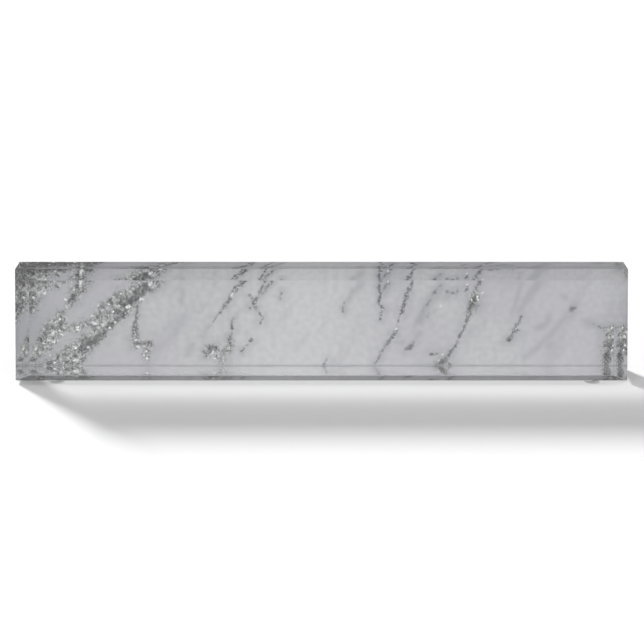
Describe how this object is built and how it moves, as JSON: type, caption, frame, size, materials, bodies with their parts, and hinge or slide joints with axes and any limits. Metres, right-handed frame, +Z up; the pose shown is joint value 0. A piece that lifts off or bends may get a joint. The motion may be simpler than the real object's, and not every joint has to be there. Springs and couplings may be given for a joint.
{
  "type": "desk name plate",
  "caption": "Long clear acrylic wedge with a bevelled sloping front, a grey marble print bonded to its back and clear feet; stands on a desk as a blank name plate.",
  "frame": {"origin": "on the desk surface, under the middle of the plate's overall length and depth", "axes": "+X along the plate, to the right as a reader sees it; the sloping front faces -Y; +Z up"},
  "size_m": [0.254, 0.027, 0.0461],
  "materials": {
    "acrylic": "polished",
    "clear_adhesive": "gloss",
    "marble_print": "satin",
    "white_backing": "satin",
    "clear_foot": "gloss"
  },
  "bodies": {
    "root": {"acrylic_block": "acrylic", "print_adhesive": "clear_adhesive", "print_film": "marble_print", "backing_sheet": "white_backing", "foot_front_left": "clear_foot", "foot_front_right": "clear_foot", "foot_rear_left": "clear_foot", "foot_rear_right": "clear_foot", "foot_adhesive_front_left": "clear_adhesive", "foot_adhesive_front_right": "clear_adhesive", "foot_adhesive_rear_left": "clear_adhesive", "foot_adhesive_rear_right": "clear_adhesive"}
  },
  "joints": []
}
